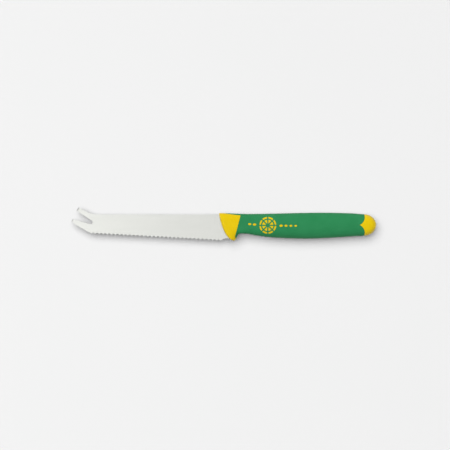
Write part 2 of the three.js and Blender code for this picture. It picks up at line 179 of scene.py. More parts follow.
def arc(x, y, radius, start, end, steps):
    turns = np.linspace(start, end, steps + 1)
    return [(x + radius * math.cos(a), y + radius * math.sin(a)) for a in turns]


def quadCurve(start, pull, end, steps):
    points = []
    for t in np.linspace(0, 1, steps + 1):
        weights = ((1 - t) ** 2, 2 * t * (1 - t), t ** 2)
        points.append(tuple(sum(w * p[i] for w, p in zip(weights, (start, pull, end))) for i in (0, 1)))
    return points


# Blade: one stamped sheet, forked and turned up at the tip, scalloped from below
blade = {
    "length": 110,
    "thickness": 1.5,
    "spineRise": 7.85,
    "spineBend": 15.1,  # lower fork tip to the upward turn
    "bendEasing": 4.5,
    "upperTip": (4.5, 11.95, 2.85, 30.8),  # behind the lower tip, rise, width, degrees
    "lowerTip": (3.5, 2.1, 22),  # rise, width, degrees
    "lowerBow": 0.35,
    "cornerRise": 0.45,  # where the lower prong ends, above the line of the teeth
    "notch": (14.4, 2.1, 1.45),  # behind the lower tip, rise, radius
    "tipBevel": 1.6,
    "tipThickness": 0.5,
    "nose": (0.5, 52),  # blunted end of each prong: length, degrees
    "forkEdgeDrop": 6.55,
    "heelDrop": 11.8,
    "heelSetback": 1.05,
    "teethSetback": 15,
    "toothPitch": 3.01,
    "toothDepth": 1,
    "toothLand": 0.2,
    "scallopTilt": 55,
    "bevelHeight": 4,
    "edgeThickness": 0.4,
    "choilRadius": 5.9,
    "rootDrop": 9.9,
    "tang": (80.7, 5.2, 2.9, 3),  # end, rise, drop, corner radius
    "shoulders": (1, 9.4, 4),  # upper, lower, length
    "easing": 0.12,  # tumbled edge of the spine and the fork
    "easingSteps": 2,
    "easedFrom": 0.5,  # above the line of the teeth
    "wheel": (96, 20),  # wheel that grinds the scallops: sides, length
    "edgeBlock": (30, 10),  # block that grinds the bevel: width, depth
    "tipBlock": (12, 6),  # block that grinds a prong: length, depth
    "steps": {"bend": 10, "notch": 24, "bow": 16, "choil": 14, "tang": 8},  # along each curve of the outline
    "smoothAngle": 20,
}
origin = Vector((
    bladeLow.x + blade["length"] * mm,
    bladeLow.y + blade["heelDrop"] * mm,
    (bladeLow.z + bladeHigh.z) / 2,
))
halfBlade = blade["thickness"] / 2
tipX = -blade["length"]
toothCount = round((blade["length"] - blade["teethSetback"] + blade["heelSetback"]) / blade["toothPitch"])
firstToothX = blade["heelSetback"] - toothCount * blade["toothPitch"]


def toothLine(x):
    start = tipX + blade["teethSetback"]
    return -mix(blade["forkEdgeDrop"], blade["heelDrop"], (x - start) / (blade["heelSetback"] - start))


def prongTip(x, y, width, degrees):
    angle = math.radians(degrees)
    across = Vector((math.sin(angle), math.cos(angle))) * width / 2
    centre = Vector((x, y))
    corners = {"upper": centre + across, "lower": centre - across}
    return {"centre": centre, "angle": angle, "width": width, **corners}


# The turn at which a line from a point touches a circle
def touchAngle(point, centre, radius, side):
    to = point - centre
    return math.atan2(to.y, to.x) + side * math.acos(radius / to.length)


setback, rise, width, degrees = blade["upperTip"]
upperTip = prongTip(tipX + setback, rise, width, degrees)
rise, width, degrees = blade["lowerTip"]
lowerTip = prongTip(tipX + width / 2 * math.sin(math.radians(degrees)), rise, width, degrees)


def forkOutline():
    steps = blade["steps"]
    bend = Vector((tipX + blade["spineBend"], blade["spineRise"]))
    eased = bend + (upperTip["upper"] - bend).normalized() * blade["bendEasing"]
    points = quadCurve((bend.x + blade["bendEasing"], bend.y), bend, eased, steps["bend"])
    points += [tuple(upperTip["upper"]), tuple(upperTip["lower"])]
    back, rise, radius = blade["notch"]
    notch = Vector((tipX + back, rise))
    start = touchAngle(upperTip["lower"], notch, radius, -1)
    end = touchAngle(lowerTip["upper"], notch, radius, 1)
    if end > start:
        end -= 2 * math.pi  # the arc runs round the closed end of the notch
    points += arc(notch.x, notch.y, radius, start, end, steps["notch"])
    points += [tuple(lowerTip["upper"])]
    edge = Vector((firstToothX, toothLine(firstToothX) + blade["cornerRise"]))
    secondX = firstToothX + blade["toothPitch"]
    chord = (edge - lowerTip["lower"]).normalized()
    pull = (edge + lowerTip["lower"]) / 2 + Vector((chord.y, -chord.x)) * 2 * blade["lowerBow"]
    return points + quadCurve(lowerTip["lower"], pull, edge, steps["bow"]) + [(secondX, toothLine(secondX))]


def heelOutline():
    radius = blade["choilRadius"]
    centreY = -blade["rootDrop"] - radius
    heelY = -blade["heelDrop"] - centreY
    reach = math.sqrt(radius ** 2 - heelY ** 2)
    start = math.atan2(heelY, -reach)
    return arc(blade["heelSetback"] + reach, centreY, radius, start, math.pi / 2, blade["steps"]["choil"])


def tangOutline(grow):
    end, rise, drop, corner = blade["tang"]
    upper, lower, length = blade["shoulders"]
    steps = blade["steps"]["tang"]
    points = [(lower + grow, -blade["rootDrop"] - grow), (lower + length + grow, -drop - grow)]
    points += arc(end - corner, corner - drop, corner + grow, -math.pi / 2, 0, steps)
    points += arc(end - corner, rise - corner, corner + grow, 0, math.pi / 2, steps)
    return points + [(upper + length + grow, rise + grow), (upper + grow, blade["spineRise"] + grow)]


# The spine, the fork and the prongs lose their sharp edge before the teeth are ground.
def easeEdges(piece):
    makeActive(piece)
    bpy.ops.object.mode_set(mode="EDIT")
    bpy.ops.mesh.select_all(action="DESELECT")
    bpy.ops.object.mode_set(mode="OBJECT")
    for edge in piece.data.edges:
        a, b = ((piece.data.vertices[i].co - origin) / mm for i in edge.vertices)
        middle = (a + b) / 2
        level = abs(a.z - b.z) < weldGap
        edge.select = level and middle.x < 0 and middle.y > toothLine(middle.x) + blade["easedFrom"]
    bpy.ops.object.mode_set(mode="EDIT")
    bpy.ops.mesh.select_mode(type="EDGE")
    bpy.ops.mesh.bevel(offset=blade["easing"] * mm, segments=blade["easingSteps"], affect="EDGES")
    bpy.ops.mesh.select_mode(type="VERT")
    bpy.ops.object.mode_set(mode="OBJECT")


def grindTeeth(piece):
    tilt = math.radians(blade["scallopTilt"])
    stretch = 1 / math.cos(tilt)
    halfChord = (blade["toothPitch"] - blade["toothLand"]) / 2
    depth = blade["toothDepth"]
    radius = stretch * (halfChord ** 2 + (depth / stretch) ** 2) / (2 * depth)
    sides, length = blade["wheel"]
    step = 2 * blade["toothPitch"]
    for first in (0, 1):  # every other scallop, because wheels side by side would overlap
        x = firstToothX + (first + 0.5) * blade["toothPitch"]
        place = toFrame((x, toothLine(x) + depth - radius * stretch, halfBlade))
        deselectAll()
        bpy.ops.mesh.primitive_cylinder_add(
            vertices=sides, radius=radius * mm, depth=length * mm, location=place, rotation=(tilt, 0, 0),
        )
        wheel = nameIt(bpy.context.object, "scallop_wheel")
        bpy.ops.object.transform_apply(location=True, rotation=True, scale=True)
        bpy.ops.object.modifier_add(type="ARRAY")
        row = wheel.modifiers[-1]
        row.count = (toothCount - first + 1) // 2
        row.use_relative_offset = False
        row.use_constant_offset = True
        row.constant_offset_displace = (step * mm, (toothLine(x + step) - toothLine(x)) * mm, 0)
        bpy.ops.object.modifier_apply(modifier=row.name)
        applyBoolean(piece, wheel, "DIFFERENCE")


def grindEdge(piece):
    start = Vector((firstToothX, toothLine(firstToothX)))
    along = Vector((blade["heelSetback"], -blade["heelDrop"])) - start
    slope = math.atan((blade["thickness"] - blade["edgeThickness"]) / blade["bevelHeight"])
    matrix = (
        Matrix.Translation(Vector(toFrame((start.x, start.y, 0))))
        @ Matrix.Rotation(math.atan2(along.y, along.x), 4, "Z")
        @ Matrix.Translation(Vector((along.length / 2, blade["bevelHeight"], -halfBlade)) * mm)
        @ Matrix.Rotation(-slope, 4, "X")
    )
    width, depth = blade["edgeBlock"]
    applyBoolean(piece, grindBlock("edge_block", (along.length, width, depth), matrix, -1), "DIFFERENCE")


# Grinds a plane across a prong, which starts this far behind the prong's end and slopes down towards it.
def grindAcross(piece, tip, behind, height, slope):
    matrix = (
        Matrix.Translation(Vector(toFrame((tip["centre"].x, tip["centre"].y, 0))))
        @ Matrix.Rotation(-tip["angle"], 4, "Z")
        @ Matrix.Translation(Vector((behind, 0, height)) * mm)
        @ Matrix.Rotation(-slope, 4, "Y")
    )
    length, depth = blade["tipBlock"]
    applyBoolean(piece, grindBlock("tip_block", (length, 2 * tip["width"], depth), matrix, 1), "DIFFERENCE")


def grindTip(piece, tip):
    rise = (blade["thickness"] - blade["tipThickness"]) / blade["tipBevel"]
    grindAcross(piece, tip, blade["tipBevel"], halfBlade, math.atan(rise))
    length, degrees = blade["nose"]
    height = blade["tipThickness"] - halfBlade + rise * length
    grindAcross(piece, tip, length, height, math.radians(degrees))


def makeBlade():
    outline = forkOutline() + heelOutline() + tangOutline(0)
    piece = prismFrom("blade_sheet", outline, -halfBlade, halfBlade)
    easeEdges(piece)
    grindEdge(piece)
    grindTeeth(piece)
    grindTip(piece, upperTip)
    grindTip(piece, lowerTip)
    clearSlivers(piece)
    smoothByAngle(piece, blade["smoothAngle"])
    return piece


bladePiece = makeBlade()
print("blade:", len(bladePiece.data.polygons), "faces")

# Handle surface: sections that lean like the front edge at station 0 and stand upright from uprightAt on
buttAt = 108.2  # station where the butt starts to round off
handle = {
    "backLine": [(0, 9), (22, 8.25), (76, 9.15), (96.2, 8.8), (buttAt, 7.95)],
    "palmLine": [(27.5, 7.75), (43, 9.5), (64, 10.15), (buttAt, 7.95)],  # drop, behind the finger notch
    "thickness": [(0, 4.9), (22, 5.4), (45, 7), (86.2, 7), (buttAt, 6.3)],  # half of it
    "swellHalf": (gripHigh.z - gripLow.z) / 2 / mm,
    "uprightAt": 24,
    "end": (capHigh.x - origin.x) / mm,
    "buttFullness": 3,  # 2 is an ellipse, more is fuller
    "frontLean": 2.6,
    "frontSweep": 8.4,
    "frontHalf": 2.6,  # half the width of the face that the blade comes out of
    "frontRound": 2.4,
    "frontCrown": 0.2,
    "cornerEase": 0.35,
    "guardDrop": 11.8,
    "guardRound": 1.3,
    "guardBackAngle": 67,
    "fingerDrop": 6.4,
    "fingerRadius": 3.4,
    "fingerFlat": 2.5,
    "backSquareness": [(0, 3.3), (12, 3.3), (45, 2.3), (buttAt, 2.3)],  # 2 is an ellipse, more is flatter
    "palmSquareness": [(0, 5.5), (11, 5), (24, 3), (45, 2.3), (buttAt, 2.3)],
    "railSquareness": 2.6,  # of the section that the rails are spaced on
    "railHeight": 0.8,  # half its height, as a share of the guard's drop
    "railSteps": 4000,
    "topRails": 22,  # rails close together on the spine, where the tongue runs
    "topReach": 3.3,
    "sideRails": 78,
    "smoothAngle": 38,
}


# A smooth line through stations, with no waves between them
def lineThrough(points):
    xs, ys = zip(*points)
    rises = [(ys[i + 1] - ys[i]) / (xs[i + 1] - xs[i]) for i in range(len(xs) - 1)]
    slopes = [rises[0]]
    for before, after in zip(rises, rises[1:]):
        slopes.append(2 * before * after / (before + after) if before * after > 0 else 0)
    slopes.append(rises[-1])

    def line(x):
        if x <= xs[0]:
            return ys[0]
        if x >= xs[-1]:
            return ys[-1]
        i = max(k for k in range(len(rises)) if xs[k] <= x)
        run, lift = xs[i + 1] - xs[i], ys[i + 1] - ys[i]
        t = (x - xs[i]) / run
        bend = (1 - t) * (slopes[i] * run - lift) + t * (lift - slopes[i + 1] * run)
        return ys[i] + t * lift + t * (1 - t) * bend
    return line


# The guard's back is a straight line between its round tip and the round finger notch.
backAngle = math.radians(handle["guardBackAngle"])
guardX = handle["frontLean"] + handle["frontSweep"]
guardLowX = guardX + handle["guardRound"] * math.sin(backAngle)
guardLowY = -handle["guardDrop"] + handle["guardRound"] * (1 - math.cos(backAngle))
guardHighY = -handle["fingerDrop"] - handle["fingerRadius"] * (1 - math.cos(backAngle))
guardHighX = guardLowX + (guardHighY - guardLowY) / math.tan(backAngle)
fingerX = guardHighX + handle["fingerRadius"] * math.sin(backAngle)
fingerEnd = fingerX + handle["fingerFlat"]

backLine = lineThrough(handle["backLine"])
palmLine = lineThrough(
    [(fingerX, -handle["fingerDrop"]), (fingerEnd, -handle["fingerDrop"])]
    + [(x, -drop) for x, drop in handle["palmLine"]]
)
swell = max(half for x, half in handle["thickness"])
thicknessLine = lineThrough([(x, half * handle["swellHalf"] / swell) for x, half in handle["thickness"]])
backSquareness = lineThrough(handle["backSquareness"])
palmSquareness = lineThrough(handle["palmSquareness"])


def guardLine(x):
    if x <= guardX:
        return -handle["guardDrop"]
    if x < guardLowX:
        drop = math.sqrt(handle["guardRound"] ** 2 - (x - guardX) ** 2)
        return -handle["guardDrop"] + handle["guardRound"] - drop
    if x < guardHighX:
        return guardLowY + (x - guardLowX) * math.tan(backAngle)
    drop = math.sqrt(max(0, handle["fingerRadius"] ** 2 - (x - fingerX) ** 2))
    return -handle["fingerDrop"] - handle["fingerRadius"] + drop


def underLine(x):
    return guardLine(x) if x < fingerX else palmLine(x)


def buttRounding(x, fullness=2):
    along = max(0, (x - buttAt) / (handle["end"] - buttAt))
    return max(0, 1 - along ** fullness) ** (1 / fullness)


def frontEdge(share):
    return handle["frontLean"] * share + handle["frontSweep"] * (1 - math.sqrt(max(0, 1 - share ** 2)))


def squared(value):
    return math.copysign(abs(value) ** (2 / handle["railSquareness"]), value)


# Each rail is a line along the handle: its share of the way down, and its side.
def makeRails():
    turns = np.linspace(0, math.pi, handle["railSteps"] + 1)
    down = np.array([handle["guardDrop"] * handle["railHeight"] * squared(math.cos(a)) for a in turns])
    across = np.array([handle["swellHalf"] * squared(math.sin(a)) for a in turns])
    walked = np.concatenate([[0], np.cumsum(np.hypot(np.diff(down), np.diff(across)))])
    top = np.linspace(0, handle["topReach"], handle["topRails"] + 1)[:-1]
    side = np.linspace(handle["topReach"], walked[-1], handle["sideRails"])
    half = np.interp(np.concatenate([top, side]), walked, turns)
    angles = list(half) + [2 * math.pi - a for a in half[-2:0:-1]]
    return [((1 - squared(math.cos(a))) / 2, math.copysign(1, math.pi - a)) for a in angles]


rails = makeRails()


# A point where a rail passes a station, on the surface or inset under it
def pointOn(station, rail, inset=0):
    share, side = rail
    upright = handle["uprightAt"]
    power = backSquareness(station) if share < 0.5 else palmSquareness(station)
    if station < upright:
        blend = station / upright
        x = mix(frontEdge(share), upright, blend)
        rounding = math.sqrt(1 - max(0, 1 - station / handle["frontRound"]) ** 2)
        half = mix(handle["frontHalf"], thicknessLine(station), rounding)
        ease = handle["cornerEase"] * (1 - rounding)
        top = backLine(station) - ease
        bottom = underLine(mix(guardX, upright, blend)) + ease
    else:
        x = station
        rounding = buttRounding(x)
        half = thicknessLine(x) * buttRounding(x, handle["buttFullness"])
        top, bottom = backLine(x) * rounding, underLine(x) * rounding
    across = max(0, 1 - abs(1 - 2 * share) ** power) ** (1 / power)
    return x, mix(top - inset, bottom + inset, share), max(0, half - inset) * across * side


# One station for all rails, or a list with a station for each
def perRail(station):
    return station if isinstance(station, list) else [station] * len(rails)


def ringAt(station, inset=0):
    return [pointOn(at, rail, inset) for at, rail in zip(perRail(station), rails)]


def ringsBetween(start, end, count, insets=(0, 0)):
    rings = []
    for share in np.linspace(0, 1, count + 1)[1:]:
        stations = [mix(a, b, share) for a, b in zip(perRail(start), perRail(end))]
        rings.append(ringAt(stations, mix(*insets, share)))
    return rings


def roundRing(x, radius):
    turns = np.linspace(0, 2 * math.pi, len(rails) + 1)[:-1]
    return [(x, radius * math.cos(a), radius * math.sin(a)) for a in turns]


# Where the colours meet: a fine groove with rounded lips
seam = {
    "gap": 0.06,
    "lip": 0.14,
    "lipSteps": 4,
    "rimDepth": 1,
    "boreGap": 0.2,
    "gripWall": 2,
    "backAt": 14.05,  # back of the bolster, on the axis
    "backLean": 14.4,
    "guardLobe": (-9.8, 1.6),  # top of the yellow on the guard's back, and the round of its corner
    "tongueNose": 3,
    "tongueFront": 3.4,  # half widths
    "tongueBack": 3.9,
    "tongueSteps": 80,
    "capEdge": 107.85,
    "capLobe": (6.85, 6.2),  # the grip's two lobes over the cap: radius, rise
    "sleeveEnd": 97.7,
    "spigotRadius": 3,
    "spigotLength": 7,
    "halvings": 30,  # of a span, in the search for a seam
}
halfGap = seam["gap"] / 2
leanAngle = math.radians(seam["backLean"])
waistRise = handle["backLine"][1][1]
tongueEdge = np.array(quadCurve(
    (seam["tongueNose"], 0),
    (seam["tongueNose"], seam["tongueFront"]),
    (seam["backAt"] + waistRise * math.tan(leanAngle), seam["tongueBack"]),
    seam["tongueSteps"],
) + [(handle["uprightAt"], seam["tongueBack"])])


# How far a point of the surface lies inside the grip, measured from the bolster
def insideGrip(x, y, z):
    lobeTop, lobeRound = seam["guardLobe"]
    behind = (x - seam["backAt"] - y * math.tan(leanAngle)) * math.cos(leanAngle)
    over = y - lobeTop
    rounding = max(lobeRound - abs(behind - over), 0) / lobeRound
    inside = min(behind, over) - rounding ** 2 * lobeRound / 4
    if y < 0 or abs(z) > 2 * seam["tongueBack"]:
        return inside
    start, end = tongueEdge[:-1], tongueEdge[1:]
    point = np.array((x, abs(z)))
    along = np.clip(((point - start) * (end - start)).sum(1) / ((end - start) ** 2).sum(1), 0, 1)
    near = np.hypot(*(start + along[:, None] * (end - start) - point).T).min()
    inTongue = x > seam["tongueNose"] and abs(z) < np.interp(x, tongueEdge[:, 0], tongueEdge[:, 1])
    return max(inside, near if inTongue else -near)


# How far a point lies inside the cap, measured from the grip's two lobes, which run straight through
def insideCap(x, y, _):
    radius, rise = seam["capLobe"]
    offset = min(0, abs(y) - rise)
    return x - (seam["capEdge"] - radius + math.sqrt(radius ** 2 - offset ** 2))


# The station on each rail where the surface is this far inside a seam
def stationsWhere(side, level, low, high):
    stations = []
    for rail in rails:
        a, b = low, high
        for _ in range(seam["halvings"]):
            middle = (a + b) / 2
            if side(*pointOn(middle, rail)) < level:
                a = middle
            else:
                b = middle
        stations.append((a + b) / 2)
    return stations


# Rings over a rounded lip, from the outer surface down into the groove; turn is 1 behind a seam, -1 before it
def lipRings(side, turn, low, high):
    rings = []
    for angle in np.linspace(0, math.pi / 2, seam["lipSteps"] + 1)[1:]:
        level = turn * (halfGap + seam["lip"] * (1 - math.sin(angle)))
        rings.append(ringAt(stationsWhere(side, level, low, high), seam["lip"] * (1 - math.cos(angle))))
    return rings


frontStart = handle["frontRound"] / 2
frontSpan = (frontStart, handle["uprightAt"])
buttSpan = (seam["sleeveEnd"], handle["end"])
edgeLevel = halfGap + seam["lip"]
bolsterStations = stationsWhere(insideGrip, -edgeLevel, *frontSpan)
gripStations = stationsWhere(insideGrip, edgeLevel, *frontSpan)
gripEndStations = stationsWhere(insideCap, -edgeLevel, *buttSpan)
capStations = stationsWhere(insideCap, edgeLevel, *buttSpan)
bolsterRim = stationsWhere(insideGrip, -halfGap, *frontSpan)
gripRim = stationsWhere(insideGrip, halfGap, *frontSpan)
gripEndRim = stationsWhere(insideCap, -halfGap, *buttSpan)
capRim = stationsWhere(insideCap, halfGap, *buttSpan)
print("handle:", len(rails), "rails, seams found")

# Inlay: lands of the core that fill windows in the grip, a citrus wheel and a row of pips
inlay = {
    "wheelAt": 36,
    "segments": 8,
    "web": 1,
    "fleshRadius": 4.1,
    "rind": (5.1, 6.2),  # inner and outer radius
    "pip": (2.5, 1.6),  # length, width
    "pipPitch": 3.6,
    "pipTaper": 0.92,
    "pipsBefore": 2,
    "pipsBehind": 4,
    "floor": 2.2,  # the lands are rooted in the core
    "ceiling": 12,  # over the surface everywhere
    "gap": 0.05,
    "reach": 24,  # so far behind the wheel's middle the rings lie close together
    "steps": {"flesh": 12, "rind": 14, "pip": 40},  # along each curve
}
inlayEnd = inlay["wheelAt"] + inlay["reach"]


def middleLine(x):
    heights = [y for _, y, _ in ringAt(x)]
    return (max(heights) + min(heights)) / 2


def wheelOutlines(grow):
    halfWeb = inlay["web"] / 2 - grow
    halfAngle = math.pi / inlay["segments"]

    def segmentArc(radius, side, steps):
        spread = halfAngle - math.asin(halfWeb / radius)
        return arc(0, 0, radius, -side * spread, side * spread, steps)

    inner, outer = inlay["rind"]
    steps = inlay["steps"]
    flesh = segmentArc(inlay["fleshRadius"] + grow, 1, steps["flesh"]) + [(halfWeb / math.sin(halfAngle), 0)]
    rind = segmentArc(outer + grow, 1, steps["rind"]) + segmentArc(inner - grow, -1, steps["rind"])
    centreY = middleLine(inlay["wheelAt"])
    outlines = []
    for i in range(inlay["segments"]):
        turn = Matrix.Rotation((2 * i + 1) * halfAngle, 2)
        for cell in (flesh, rind):
            turned = [turn @ Vector(point) for point in cell]
            outlines.append([(inlay["wheelAt"] + p.x, centreY + p.y) for p in turned])
    return outlines


def pipOutlines(grow):
    circle = arc(0, 0, 1, 0, 2 * math.pi, inlay["steps"]["pip"])[:-1]
    outlines = []
    for side, count in ((-1, inlay["pipsBefore"]), (1, inlay["pipsBehind"])):
        for i in range(count):
            x = inlay["wheelAt"] + side * (inlay["rind"][1] + (i + 1) * inlay["pipPitch"])
            length, width = (inlay["pipTaper"] ** i * size / 2 + grow for size in inlay["pip"])
            y = middleLine(x)
            outlines.append([(x + length * c, y + width * s) for c, s in circle])
    return outlines


def inlayPrisms(name, grow):
    outlines = wheelOutlines(grow) + pipOutlines(grow)
    span = (inlay["floor"], inlay["ceiling"])
    return joinPieces(name, [prismFrom(name, outline, *span) for outline in outlines])


# Handle pieces, each lofted along the rails. This many rings lie along each stretch.
rows = {
    "face": 5,
    "frontRound": 8,
    "bolster": 22,
    "bolsterRim": 12,
    "sleeve": 40,
    "gripFront": 30,
    "inlay": 60,
    "palm": 32,
    "gripEnd": 16,
    "endBore": 6,
    "bore": 50,
    "gripRim": 12,
    "plug": 8,
    "dome": 34,
    "bodyFront": 40,
    "bodyBack": 30,
}


# The front face closes on the blade's plane, with a slight crown, and rounds into the sides.
def frontRings():
    edge = ringAt(0)
    rings = []
    for share in np.linspace(0, 1, rows["face"] + 1):
        crown = handle["frontCrown"] * (1 - share ** 2)
        rings.append([(x - crown, y, z * share) for x, y, z in edge])
    for angle in np.linspace(0, math.pi / 2, rows["frontRound"] + 1)[1:]:
        rings.append(ringAt(frontStart * (1 - math.cos(angle))))
    return rings


def domeRings(start, count):
    rings = []
    for turn in np.linspace(0, math.pi / 2, count + 1)[1:]:
        rings.append(ringAt([mix(a, handle["end"], math.sin(turn)) for a in perRail(start)]))
    return rings


def makeCore():
    wall = seam["gripWall"]
    upright = handle["uprightAt"]
    sleeve = seam["sleeveEnd"]
    socket = seam["spigotRadius"] + seam["boreGap"]
    depth = sleeve - seam["spigotLength"] - seam["boreGap"]
    rings = frontRings()
    rings += ringsBetween(frontStart, bolsterStations, rows["bolster"])
    rings += lipRings(insideGrip, -1, *frontSpan)
    rings += [ringAt(bolsterRim, seam["rimDepth"])]
    rings += ringsBetween(bolsterRim, upright, rows["bolsterRim"], (seam["rimDepth"], wall))
    rings += ringsBetween(upright, sleeve, rows["sleeve"], (wall, wall))
    rings += [roundRing(sleeve, socket), roundRing(depth, socket), roundRing(depth, 0)]
    return loftRings("core_moulding", rings)


def makeGrip():
    wall = seam["gripWall"] - seam["boreGap"]
    rim = seam["rimDepth"] - seam["boreGap"] / 2
    upright = handle["uprightAt"]
    sleeve = seam["sleeveEnd"]
    rings = [ringAt(gripRim, rim)]
    rings += lipRings(insideGrip, 1, *frontSpan)[::-1]
    rings += [ringAt(gripStations)]
    rings += ringsBetween(gripStations, upright, rows["gripFront"])
    rings += ringsBetween(upright, inlayEnd, rows["inlay"])
    rings += ringsBetween(inlayEnd, sleeve, rows["palm"])
    rings += ringsBetween(sleeve, gripEndStations, rows["gripEnd"])
    rings += lipRings(insideCap, -1, *buttSpan)
    rings += [ringAt(gripEndRim, wall)]
    rings += ringsBetween(gripEndRim, sleeve, rows["endBore"], (wall, wall))
    rings += ringsBetween(sleeve, upright, rows["bore"], (wall, wall))
    rings += ringsBetween(upright, gripRim, rows["gripRim"], (wall, rim))
    return loftRings("grip_overmould", rings)


def makeCap():
    wall = seam["gripWall"]
    plug = seam["sleeveEnd"] + seam["boreGap"]
    tip = plug - seam["spigotLength"]
    radius = seam["spigotRadius"]
    rings = [roundRing(tip, 0), roundRing(tip, radius), roundRing(plug, radius)]
    rings += [ringAt(plug, wall)]
    rings += ringsBetween(plug, capRim, rows["plug"], (wall, wall))
    rings += lipRings(insideCap, 1, *buttSpan)[::-1]
    rings += [ringAt(capStations)]
    rings += domeRings(capStations, rows["dome"])
    return loftRings("butt_plug", rings)


# The whole handle without seams, which trims the inlay's lands to the surface
def makeBody():
    rings = frontRings()
    rings += ringsBetween(*frontSpan, rows["bodyFront"])
    rings += ringsBetween(handle["uprightAt"], inlayEnd, rows["inlay"])
    rings += domeRings(inlayEnd, rows["bodyBack"])
    return loftRings("handle_body", rings)


# Room for the tang in the core, cut from in front of the handle
pocket = {"gap": 0.12, "front": -20}


def makePocket():
    gap = pocket["gap"]
    half = halfBlade + gap
    outline = [(pocket["front"], blade["spineRise"] + gap), (pocket["front"], -blade["rootDrop"] - gap)]
    return prismFrom("tang_pocket", outline + tangOutline(gap), -half, half)


corePiece = makeCore()
print("core:", len(corePiece.data.polygons), "faces")
gripPiece = makeGrip()
print("grip:", len(gripPiece.data.polygons), "faces")
capPiece = makeCap()
print("cap:", len(capPiece.data.polygons), "faces")

lands = inlayPrisms("inlay_lands", 0)
applyBoolean(lands, makeBody(), "INTERSECT")
applyBoolean(corePiece, lands, "UNION")
applyBoolean(gripPiece, inlayPrisms("windows", inlay["gap"]), "DIFFERENCE")
applyBoolean(corePiece, makePocket(), "DIFFERENCE")
for piece in (corePiece, gripPiece, capPiece):
    clearSlivers(piece)
    smoothByAngle(piece, handle["smoothAngle"])
print("inlay and pocket cut")

for piece, node, slot in (
    (bladePiece, "blade", "blade_steel"),
    (corePiece, "handle_core", "core_plastic"),
    (gripPiece, "grip", "grip_rubber"),
    (capPiece, "butt_cap", "cap_plastic"),
):
    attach(piece, "root")
    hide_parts(node)
    piece.visible_diffuse = False  # the paper takes no tint from the knife


# Materials

def linear(code):
    values = [int(code[i:i + 2], 16) / 255 for i in (1, 3, 5)]
    return [v / 12.92 if v <= 0.04045 else ((v + 0.055) / 1.055) ** 2.4 for v in values] + [1]


def feed(tree, node, values=None, links=None):
    for socket, value in (values or {}).items():
        node.inputs[socket].default_value = value
    for socket, source in (links or {}).items():
        tree.links.new(source, node.inputs[socket])
    return node


def addNode(tree, kind, values=None, links=None, **settings):
    node = tree.nodes.new("ShaderNode" + kind)
    for name, value in settings.items():
        setattr(node, name, value)
    return feed(tree, node, values, links)


def newMaterial(name):
    material = bpy.data.materials.new(name)
    material.use_nodes = True
    tree = material.node_tree
    shader = tree.nodes["Principled BSDF"]
    spot = addNode(tree, "TexCoord")
    return material, tree, shader, spot.outputs["Object"]


def scaleFor(size):
    return 1 / (size * mm)  # texture scale that gives a feature this size in mm, on Object coordinates


colourA, colourB, colourOut = 6, 7, 2  # sockets of a Mix node that mixes colours
noiseSpan = {"From Min": 0.3, "From Max": 0.7}  # where most of a noise lies


# Rolled stainless sheet with a satin finish along its length: pale, soft broad reflections and fine lines.
def satinStainless():
    material, tree, shader, spot = newMaterial("satin_stainless")
    # real polishing lines are finer than a pixel, so they are drawn 0.4 mm apart
    lineScale = [scaleFor(size) for size in (30, 0.4, 0.4)]
    drawn = addNode(tree, "Mapping", {"Scale": lineScale}, {"Vector": spot})
    lines = addNode(tree, "TexNoise", {"Scale": 1, "Detail": 3}, {"Vector": drawn.outputs["Vector"]})
    cloud = addNode(tree, "TexNoise", {"Scale": scaleFor(28), "Detail": 2}, {"Vector": spot})
    share = addNode(tree, "MapRange", noiseSpan, {"Value": lines.outputs["Fac"]})
    tone = addNode(
        tree, "Mix", {colourA: linear("#DDDED9"), colourB: linear("#E7E8E3")},
        {"Factor": share.outputs["Result"]}, data_type="RGBA",
    )
    rough = addNode(
        tree, "MapRange", {**noiseSpan, "To Min": 0.29, "To Max": 0.37},
        {"Value": cloud.outputs["Fac"]},
    )
    bump = addNode(tree, "Bump", {"Strength": 0.2, "Distance": 0.02 * mm}, {"Height": lines.outputs["Fac"]})
    feed(tree, shader, {"Metallic": 1}, {
        "Base Color": tone.outputs[colourOut],
        "Roughness": rough.outputs["Result"],
        "Normal": bump.outputs["Normal"],
    })
    return material


# Stainless fresh from the grinding wheel: brighter facets with short lines square to the edge.
def groundStainless():
    material, tree, shader, spot = newMaterial("ground_stainless")
    lineScale = [scaleFor(size) for size in (0.3, 5, 2)]
    drawn = addNode(tree, "Mapping", {"Scale": lineScale}, {"Vector": spot})
    lines = addNode(tree, "TexNoise", {"Scale": 1, "Detail": 2}, {"Vector": drawn.outputs["Vector"]})
    share = addNode(tree, "MapRange", noiseSpan, {"Value": lines.outputs["Fac"]})
    tone = addNode(
        tree, "Mix", {colourA: linear("#DADAD7"), colourB: linear("#ECECE9")},
        {"Factor": share.outputs["Result"]}, data_type="RGBA",
    )
    rough = addNode(tree, "MapRange", {"To Min": 0.22, "To Max": 0.36}, {"Value": share.outputs["Result"]})
    bump = addNode(tree, "Bump", {"Strength": 0.3, "Distance": 0.03 * mm}, {"Height": lines.outputs["Fac"]})
    feed(tree, shader, {"Metallic": 1}, {
        "Base Color": tone.outputs[colourOut],
        "Roughness": rough.outputs["Result"],
        "Normal": bump.outputs["Normal"],
    })
    return material


